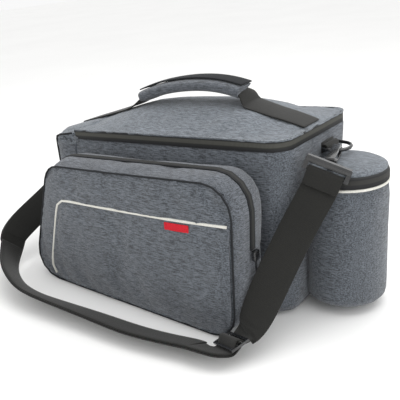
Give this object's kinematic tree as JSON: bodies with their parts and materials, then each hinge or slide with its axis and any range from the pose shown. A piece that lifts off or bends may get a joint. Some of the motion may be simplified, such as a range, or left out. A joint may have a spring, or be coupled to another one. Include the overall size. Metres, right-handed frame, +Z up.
{
  "type": "bicycle trunk bag",
  "caption": "Padded cloth bag for a bicycle rear rack with a crowned zip lid, grip handle, side pocket, round bottle pocket and clip-on shoulder strap",
  "frame": {"origin": "Middle of the underside of the main body, on the surface the bag stands on", "axes": "X from the nose end to the tail end with the bottle pocket, -Y towards the side pocket, Z up"},
  "size_m": [0.5007, 0.3017, 0.2549],
  "materials": {
    "heather_cloth": "heathered blue-grey woven polyester",
    "lid_cloth": "lighter heathered blue-grey woven polyester",
    "zip_tape": "dark olive coil zip on woven tape",
    "olive_webbing": "dark olive flat webbing",
    "dark_trim": "charcoal woven binding",
    "pale_piping": "off-white reflective piping",
    "red_cloth": "plain red woven tab",
    "black_plastic": "black moulded plastic"
  },
  "bodies": {
    "root": {"body_shell": "heather_cloth", "lid_panel": "lid_cloth", "main_zip": "zip_tape", "nose_piping_near": "dark_trim", "nose_piping_far": "dark_trim", "pocket_gusset": "heather_cloth", "pocket_panel": "heather_cloth", "slip_pocket": "heather_cloth", "reflective_piping": "pale_piping", "red_tab": "red_cloth", "pocket_zip": "zip_tape", "pocket_zip_slider": "black_plastic", "pocket_zip_pull": "dark_trim", "bottle_pocket": "heather_cloth", "bottle_piping": "pale_piping", "bottle_zip": "zip_tape", "bottle_lid": "lid_cloth", "handle_webbing": "olive_webbing", "grip_sleeve": "heather_cloth", "grip_flap": "dark_trim", "shoulder_strap": "olive_webbing", "strap_return": "olive_webbing", "strap_adjuster": "black_plastic", "tail_d_ring": "black_plastic", "tail_ring_tab": "olive_webbing", "tail_snap_hook": "black_plastic", "tail_strap_loop": "black_plastic", "nose_d_ring": "black_plastic", "nose_ring_tab": "olive_webbing", "nose_snap_hook": "black_plastic", "nose_strap_loop": "black_plastic"}
  },
  "joints": []
}
